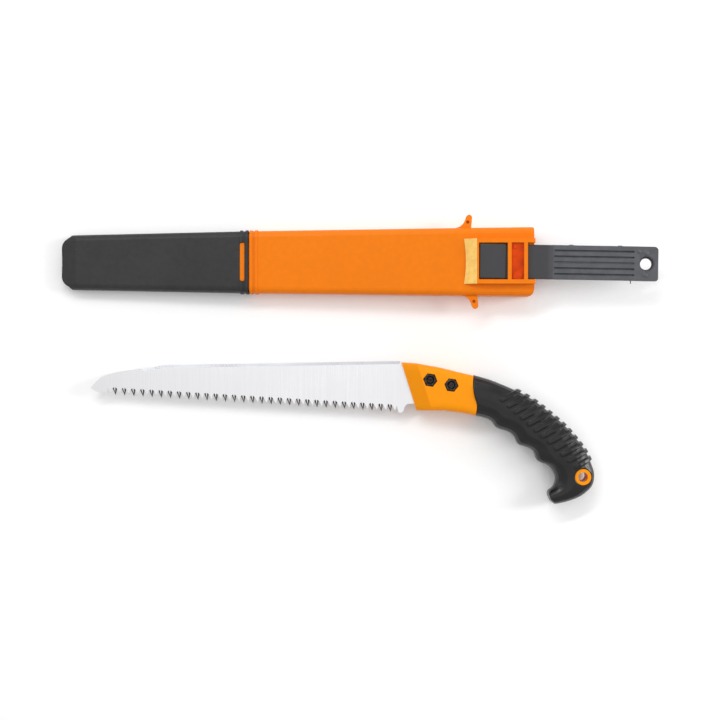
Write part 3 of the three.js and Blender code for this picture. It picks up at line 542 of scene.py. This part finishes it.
NUT_FLATS = 10 * MM
NUT_TURN = math.radians(-8.5)
NUT_BORE = 3.1 * MM
BOLT_RADIUS = 2.97 * MM
THREAD_DEPTH = 0.3 * MM
HEAD_RADIUS = 5.2 * MM
HEAD_HEIGHT = 4 * MM
HEAD_EDGE = 0.2 * MM
SOCKET_FLATS = 4 * MM
CHAMFER_SLOPE = math.tan(math.radians(30))
NUT_FACE = NUT_FLATS * 0.475  # radius of the ring where a nut's chamfer starts
NUT_BACK_CHAMFER, NUT_FRONT_CHAMFER = 0.4 * MM, 0.5 * MM
SOCKET_FLOOR = (0.4 * MM, 2.7 * MM)  # radius and depth of the point left by the drill
SOCKET_DEPTHS = (2.3 * MM, 0.3 * MM)  # where the hexagon ends and starts
HEAD_PROFILE = ((2.7, 0), (3.9, 0), (4.7, 0.5), (5.2, 1.7))  # radius and height in mm, from the crown
TIP_PROFILE = ((2.3, 0), (1.4, 0), (1.2, -0.25))  # the same at the bolt's end
TIP_CHAMFER = 0.7 * MM
PLAIN_SHANK = 6 * MM
THREAD_STEPS = 6  # rings of points in one turn


class SAW_OT_fasteners(bpy.types.Operator):
    """Build the two bolts with their rolled threads and socket heads, and the two chamfered hexagon nuts"""

    bl_idname = "pruning_saw.fasteners"
    bl_label = "Bolts and nuts"

    def execute(self, context):
        pitch = context.scene.saw_sizes.thread_pitch
        for place in ("front", "rear"):
            low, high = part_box("nut_" + place)
            centre = (low + high) / 2

            def side(angle, end, inward):
                radius = hexagon_radius(NUT_FLATS, angle, NUT_TURN)
                return radius, end + inward * (radius - NUT_FACE) * CHAMFER_SLOPE

            build = bmesh.new()
            rings = [circle(NUT_BORE, low.z + NUT_BACK_CHAMFER), circle(NUT_BORE + NUT_BACK_CHAMFER, low.z)]
            rings += [circle(NUT_FACE, low.z), lambda a: side(a, low.z, 1)]
            rings += [lambda a: side(a, high.z, -1), circle(NUT_FACE, high.z)]
            rings += [circle(NUT_BORE + NUT_FRONT_CHAMFER, high.z), circle(NUT_BORE, high.z - NUT_FRONT_CHAMFER)]
            turned(build, centre, rings, 72, hollow=True)
            nut = finished("hex_nut_" + place, build, SMOOTH_ANGLE)
            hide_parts("nut_" + place)

            low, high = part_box("bolt_" + place)
            shoulder = low.z + HEAD_HEIGHT
            tip = high.z - TIP_CHAMFER

            def thread(height):
                def ring(angle):
                    wave = abs(2 * ((height / pitch - angle / math.tau) % 1) - 1)
                    return BOLT_RADIUS - THREAD_DEPTH * wave, height

                return ring

            build = bmesh.new()
            radius, depth = SOCKET_FLOOR
            rings = [circle(radius, low.z + depth)]
            rings += [lambda a, d=d: (hexagon_radius(SOCKET_FLATS, a, 0), low.z + d) for d in SOCKET_DEPTHS]
            rings += [circle(r * MM, low.z + z * MM) for r, z in HEAD_PROFILE]
            rings += [circle(HEAD_RADIUS, shoulder - HEAD_EDGE), circle(HEAD_RADIUS - HEAD_EDGE, shoulder)]
            rings += [circle(BOLT_RADIUS, shoulder)]
            turns = math.ceil((tip - shoulder - PLAIN_SHANK) / pitch * THREAD_STEPS)
            rings += [thread(tip - (turns - i) * pitch / THREAD_STEPS) for i in range(turns + 1)]
            rings += [circle(r * MM, high.z + z * MM) for r, z in TIP_PROFILE]
            turned(build, (low + high) / 2, rings)
            bolt = finished("socket_bolt_" + place, build, SMOOTH_ANGLE)
            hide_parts("bolt_" + place)
            for piece in (nut, bolt):
                dress(piece, "oxide")
                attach(piece, "saw")
        return {"FINISHED"}


# ---------------------------------------------------------------- moulded pieces

GRIP_CELL = 0.4 * MM  # fine enough for the ribs' rounding
GRIP_PASSES = 4
FLAT_ANGLE = math.radians(1)
QUAD_ANGLE = math.radians(40)  # how far a quad's corners may be from square
EDGE_ANGLE = math.radians(24)
BROAD_FACE = 15e-6  # square metres
SCABBARD_AXIS = 82.62 * MM  # the scabbard's centre line
HOUSING_RISE = 6.7 * MM  # the strap's housing stands this far off the sleeve
WINDOW_START, WINDOW_END, WINDOW_HALF, WINDOW_RIM = 26.6 * MM, 37.4 * MM, 15.5 * MM, 0.6 * MM  # the bridge's window


def eased_copy(source, name, radius, steps=3, flat=True):
    """A packed moulding with its corners eased to a radius, as the tool leaves them. Its broad faces may be flat."""
    build = merged_copy(source)
    # Flat triangles become well-shaped quads and nothing larger. A face round an opening would fold when eased.
    bmesh.ops.join_triangles(
        build, faces=build.faces, angle_face_threshold=FLAT_ANGLE, angle_shape_threshold=QUAD_ANGLE
    )
    piece = finished(name, build)
    ease = piece.modifiers.new("ease", "BEVEL")
    ease.width, ease.segments, ease.limit_method, ease.angle_limit = radius, steps, "ANGLE", EDGE_ANGLE
    ease.use_clamp_overlap, ease.miter_outer = True, "MITER_ARC"
    apply_modifiers(piece)
    piece.data.shade_smooth()
    piece.data.set_sharp_from_angle(angle=SMOOTH_ANGLE)
    for face in piece.data.polygons:
        face.use_smooth = not (flat and face.area > BROAD_FACE)
    lean = piece.modifiers.new("even", "WEIGHTED_NORMAL")
    lean.keep_sharp, lean.weight = True, 100
    return piece


class SAW_OT_scabbard(bpy.types.Operator):
    """Build the sleeve and the toe boot, with eased corners"""

    bl_idname = "pruning_saw.scabbard"
    bl_label = "Sleeve and toe boot"

    def painted_light_zone(self, face, mouth, top):
        """Which of the sleeve's finishes a face has: plain 0; 1 on the ramp, a painted highlight over rubbed streaks;
        2 on the window's floor, painted shade of the recess.
        """
        behind = face.center.x - mouth
        # The ramp's faces, turned left and up towards the light, get the painted highlight.
        if top - HOUSING_RISE < face.center.z and face.normal.x < -0.3 and face.normal.z > 0.5 and behind < 0:
            return 1
        # The window's floor, down in the recess, gets the painted shade.
        beside = abs(face.center.y - SCABBARD_AXIS)
        in_window = WINDOW_START < behind < WINDOW_END and beside < WINDOW_HALF
        return 2 if in_window and top - HOUSING_RISE < face.center.z < top - WINDOW_RIM else 0

    def execute(self, context):
        for source, name, radius, finish, slot in (
            ("sleeve", "orange_sleeve", 0.5, ("sleeve", "rubbed", "thin"), "orange_plastic"),
            ("toe_boot", "charcoal_boot", 0.6, ("boot",), "charcoal_plastic"),
        ):
            piece = eased_copy(source, name, radius * MM)
            dress(piece, *finish)
            if source == "sleeve":
                # The ramp gets a painted highlight over its rubbed streaks, and the window's floor gets painted shade.
                mouth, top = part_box("strap_tongue")[0].x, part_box("sleeve")[1].z
                for face in piece.data.polygons:
                    face.material_index = self.painted_light_zone(face, mouth, top)
            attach(piece, "scabbard")
            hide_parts(source)
        return {"FINISHED"}


class SAW_OT_handle(bpy.types.Operator):
    """Build the orange handle moulding with its collar, and the soft ribbed grip over it"""

    bl_idname = "pruning_saw.handle"
    bl_label = "Handle and grip"

    def execute(self, context):
        core = eased_copy("handle_core", "collar_and_eyelet", 0.7 * MM, flat=False)
        dress(core, "collar")
        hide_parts("handle_core")

        grip = finished("ribbed_grip", merged_copy("grip"))
        melt = grip.modifiers.new("melt", "REMESH")
        melt.mode, melt.voxel_size, melt.adaptivity = "VOXEL", GRIP_CELL, 0
        soften = grip.modifiers.new("soften", "SMOOTH")
        soften.factor, soften.iterations = 0.5, GRIP_PASSES
        apply_modifiers(grip)
        grip.data.shade_smooth()
        dress(grip, "rubber")
        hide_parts("grip")
        for piece in (core, grip):
            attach(piece, "saw")
        return {"FINISHED"}


# ---------------------------------------------------------------- strap

STRAP_TURN = math.radians(-1)  # it lies slightly askew in its channel
STRAP_HALF = 14.45 * MM
PAD_START, PAD_END = -19.7 * MM, 1.9 * MM  # along the strap, from the point it turns about
WEB_START, WEB_END = 23.4 * MM, 41.7 * MM
PLATE_START, STRAP_END = 111.2 * MM, 130.2 * MM
END_SLANT = 0.4 * MM
END_CORNERS = (1.6 * MM, 3.4 * MM)
THICKNESS = {"tongue": 2.6 * MM, "pad": 5 * MM, "web": 3 * MM, "band": 3.8 * MM, "plate": 7 * MM}
GROOVE_COUNT, GROOVE_PITCH, GROOVE_HALF, GROOVE_DEPTH = 5, 5.1 * MM, 0.85 * MM, 1.5 * MM
HOLE_PLACE, HOLE_RADIUS, LIP_RADIUS, LIP_THICKNESS = 120.4 * MM, 6.1 * MM, 4.8 * MM, 1.2 * MM
PIN_MARKS = ((119.8, 8.9, 1.9), (119.0, -9.6, 2.0), (114.0, 10.0, 1.5))  # along, across, radius in mm
NUBS = ((107.2, -1, 2.4, 0.5), (57.0, 1, 0.5, 3.0), (98.0, 1, 0.5, 3.0))  # along, side, how far out, half width in mm


class SAW_OT_strap(bpy.types.Operator):
    """Build the strap as one moulding: tongue and pad in the housing, flexing web, grooved band, pierced end"""

    bl_idname = "pruning_saw.strap"
    bl_label = "Strap"

    def execute(self, context):
        edge = context.scene.saw_sizes.strap_edge
        low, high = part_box("strap_tongue")
        base = low.z
        along = Vector((math.cos(STRAP_TURN), math.sin(STRAP_TURN), 0))
        across = Vector((-along.y, along.x, 0))
        start = Vector((low.x, (low.y + high.y) / 2, 0))
        pivot = start - along * (PAD_START + STRAP_HALF * math.sin(STRAP_TURN))

        def place(s, t, z):
            return pivot + along * s + across * t + UP * z

        def level(s):
            """Top of the strap at a distance along it, and its underside."""
            stops = (
                (PAD_START, "pad"), (PAD_END, "pad"), (PAD_END + 0.4 * MM, "tongue"), (WEB_START, "tongue"),
                (WEB_START + 0.8 * MM, "web"), (WEB_END - 1.5 * MM, "web"), (WEB_END, "band"), (STRAP_END, "band"),
            )
            for (a, kind_a), (b, kind_b) in zip(stops, stops[1:]):
                if s <= b + MERGE:
                    share = max(0, (s - a) / (b - a))
                    top = base + THICKNESS[kind_a] * (1 - share) + THICKNESS[kind_b] * share
                    break
            under = base - (THICKNESS["plate"] - THICKNESS["band"]) * min(1, max(0, (s - PLATE_START) / (0.3 * MM)))
            return top, under

        grooves = [(i - (GROOVE_COUNT - 1) / 2) * GROOVE_PITCH for i in range(GROOVE_COUNT)]
        groove_start, groove_end = WEB_END + 1 * MM, PLATE_START - 1.2 * MM
        lanes = {side * GROOVE_COUNT / 2 * GROOVE_PITCH for side in (-1, 1)}
        for centre in grooves:
            lanes |= {centre + share * GROOVE_HALF for share in (-1, -0.6, 0, 0.6, 1)}
        lanes = sorted(lanes - {0.0})  # the middle groove's floor is flat without a line along its centre

        def groove(s, t):
            """Depth of the grooves at a point, rounded at their ends."""
            nearest = min(grooves, key=lambda g: abs(g - t))
            inside = 1 - abs(t - nearest) / GROOVE_HALF
            ends = min(s - groove_start, groove_end - s) / (0.5 * MM)
            return GROOVE_DEPTH * max(0, min(1, 2 * inside)) * max(0, min(1, ends))

        def half_width(s, side):
            """Half width at a distance along, drawn in round the end's two corners."""
            radius = END_CORNERS[side > 0]
            end = STRAP_END - (END_SLANT if side < 0 else 0)
            past = s - (end - radius)
            return STRAP_HALF if past <= 0 else STRAP_HALF - radius + math.sqrt(max(0, radius**2 - past**2))

        stops = {PAD_START, PAD_START + 0.3 * edge, PAD_START + edge, PAD_END - edge, PAD_END, PAD_END + 0.4 * MM}
        stops |= {WEB_START + i * (WEB_END - WEB_START) / 16 for i in range(17)}
        stops |= {groove_start, groove_start + 0.5 * MM, groove_end - 0.5 * MM, groove_end}
        stops |= {PLATE_START, PLATE_START + 0.3 * MM, STRAP_END - 0.5 * MM, STRAP_END - 0.15 * MM, STRAP_END}
        stops |= {STRAP_END - 3.4 * MM * i / 6 for i in range(1, 7)}
        stops |= {8 * MM, 16 * MM} | {WEB_END + i * 6 * MM for i in range(1, 11)} | {115 * MM, 119 * MM, 123 * MM}
        stops = sorted(stops)
        stops = [s for i, s in enumerate(stops) if i == 0 or s - stops[i - 1] > 0.02 * MM]

        rings = []
        for s in stops:
            top, under = level(s)
            nose = min(s - PAD_START, STRAP_END - s)
            tuck = edge - math.sqrt(max(0, edge**2 - max(0, edge - nose) ** 2))
            top, under = top - tuck, under + tuck
            left, right = half_width(s, 1), half_width(s, -1)
            wall = [(1.0, 0.0), (0.62, 0.08), (0.3, 0.3), (0.08, 0.62), (0.0, 1.0)]  # quarter round: in, down
            ring = [(-right + edge * a, top - edge * b) for a, b in reversed(wall)]
            drawn_in = (left + right - 2 * edge) / (2 * STRAP_HALF)
            ring += [(t * drawn_in + (left - right) / 2, top - groove(s, t)) for t in lanes]
            ring += [(left - edge * a, top - edge * b) for a, b in wall]
            ring += [(left - edge * a, under + edge * b) for a, b in reversed(wall)]
            ring += [(-right + edge * a, under + edge * b) for a, b in wall]
            rings.append([place(s, t, z) for t, z in ring])
        build = bmesh.new()
        rows = strip(build, rings)
        build.faces.new(rows[0])
        build.faces.new(rows[-1])
        strap = finished("strap", build)

        top, under = level(HOLE_PLACE)
        drill = bmesh.new()
        flare = 0.5 * MM
        rings = [circle(LIP_RADIUS, under - 1 * MM), circle(LIP_RADIUS, under + LIP_THICKNESS)]
        rings += [circle(HOLE_RADIUS, under + LIP_THICKNESS), circle(HOLE_RADIUS, top - flare)]
        rings += [circle(HOLE_RADIUS + flare, top), circle(HOLE_RADIUS + flare, top + 1 * MM)]
        turned(drill, place(HOLE_PLACE, 0, 0), rings, 64)
        carve(strap, finished("drill", drill), "DIFFERENCE")
        for s, t, radius in PIN_MARKS:
            stud = bmesh.new()
            rings = [circle(radius * MM, top - 0.5 * MM), circle(radius * MM, top + 0.3 * MM)]
            rings += [circle(radius * 0.6 * MM, top + 0.7 * MM)]
            turned(stud, place(s * MM, t * MM, 0), rings, 32)
            carve(strap, finished("stud", stud), "UNION")
        for s, side, out, half in NUBS:
            stub = bmesh.new()
            corners = [(-half, -1), (half, -1), (half * 0.5, out), (-half * 0.5, out)]
            flat = [place(s * MM + a * MM, side * (STRAP_HALF + b * MM), 0) for a, b in corners]
            strip_rows = strip(stub, [[p + UP * (base + z * MM) for p in flat] for z in (1.2, 2.4)])
            stub.faces.new(strip_rows[0])
            stub.faces.new(strip_rows[1])
            carve(strap, finished("stub", stub), "UNION")
        strap.data.shade_smooth()
        strap.data.set_sharp_from_angle(angle=SMOOTH_ANGLE)
        dress(strap, "strap")
        # Marks the painted shade: full on the pad, tongue and web, fading out across the web's end into the band.
        bent = strap.data.attributes.new(PAINTED_SHADE, "FLOAT", "POINT")
        for point, value in zip(strap.data.vertices, bent.data):
            value.value = min(1, max(0, (WEB_END + 2 * MM - (point.co - pivot).dot(along)) / (7 * MM)))
        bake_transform(strap)
        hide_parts("strap_tongue", "strap_tail")
        return {"FINISHED"}


class SAW_OT_stage(bpy.types.Operator):
    """Lay the floor, set the lights and place the camera"""

    bl_idname = "pruning_saw.stage"
    bl_label = "Stage"

    def execute(self, context):
        settings = context.scene.saw_stage
        build = bmesh.new()
        bmesh.ops.create_grid(build, x_segments=2, y_segments=2, size=FLOOR_HALF)
        floor = finished("floor", build)
        floor.location.z = -FLOOR_GAP
        # Painted board: matt white, with a mottle of its fibres that is barely seen.
        white = settings.floor
        finish, tree, shader, place = material("matt_white_board", {"Base Color": rgba(white), "Roughness": 0.9})
        fibre = node(tree, "ShaderNodeTexNoise", {"Scale": per_metre(3), "Detail": 4}, {"Vector": place})
        mottle = node(tree, "ShaderNodeMapRange", {"From Min": 0.3, "From Max": 0.7}, {"Value": fibre.outputs[0]})
        two_shades = {"data_type": "RGBA", 6: rgba(white), 7: rgba(white, 0.985)}
        skin = node(tree, "ShaderNodeMix", two_shades, {0: mottle.outputs[0]})
        tree.links.new(skin.outputs[2], shader.inputs["Base Color"])
        floor.data.materials.append(finish)

        sky = bpy.data.worlds.new("even_white")
        sky.use_nodes = True
        light = sky.node_tree.nodes["Background"].inputs
        light["Color"].default_value = (1, 1, 1, 1)
        light["Strength"].default_value = settings.sky
        context.scene.world = sky
        for name, place, size, share in SOFTBOXES:
            lamp = bpy.data.lights.new(name, "AREA")
            lamp.shape, lamp.size, lamp.size_y = "RECTANGLE", *size
            lamp.energy = settings.softbox * share
            box = bpy.data.objects.new(name, lamp)
            box.location = place
            box.rotation_euler = (-Vector(place)).to_track_quat("-Z", "Y").to_euler()
            context.scene.collection.objects.link(box)

        eye = bpy.data.cameras.new("camera")
        eye.sensor_width = SENSOR
        away = settings.camera_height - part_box("blade")[0].z
        eye.lens = SENSOR * away / settings.view_width
        camera = bpy.data.objects.new("camera", eye)
        camera.location = (*CAMERA_OVER, settings.camera_height)
        context.scene.collection.objects.link(camera)
        context.scene.camera = camera
        context.scene.view_settings.view_transform = "Standard"
        return {"FINISHED"}


OPERATORS = (
    SAW_OT_frame_finishes,
    SAW_OT_blade,
    SAW_OT_fasteners,
    SAW_OT_scabbard,
    SAW_OT_handle,
    SAW_OT_strap,
    SAW_OT_stage,
)


class SAW_PT_panel(bpy.types.Panel):
    """Lists the operators that build the saw and its scabbard"""

    bl_idname = "SAW_PT_panel"
    bl_label = "Pruning Saw"
    bl_space_type = "VIEW_3D"
    bl_region_type = "UI"
    bl_category = "Pruning Saw"

    def draw(self, context):
        for operator in OPERATORS:
            self.layout.operator(operator.bl_idname)
        for group in (context.scene.saw_colours, context.scene.saw_sizes, context.scene.saw_stage):
            box = self.layout.box()
            for name in group.__annotations__:
                box.prop(group, name)


GROUPS = {"saw_colours": SawColours, "saw_sizes": SawSizes, "saw_stage": StageSettings}


def register():
    for kind in (*GROUPS.values(), *OPERATORS, SAW_PT_panel):
        bpy.utils.register_class(kind)
    for name, group in GROUPS.items():
        setattr(bpy.types.Scene, name, PointerProperty(type=group))


def unregister():
    for name in GROUPS:
        delattr(bpy.types.Scene, name)
    for kind in reversed((*GROUPS.values(), *OPERATORS, SAW_PT_panel)):
        bpy.utils.unregister_class(kind)


def main():
    register()
    for operator in OPERATORS:
        group, name = operator.bl_idname.split(".")
        getattr(getattr(bpy.ops, group), name)()


if __name__ == "__main__":
    main()
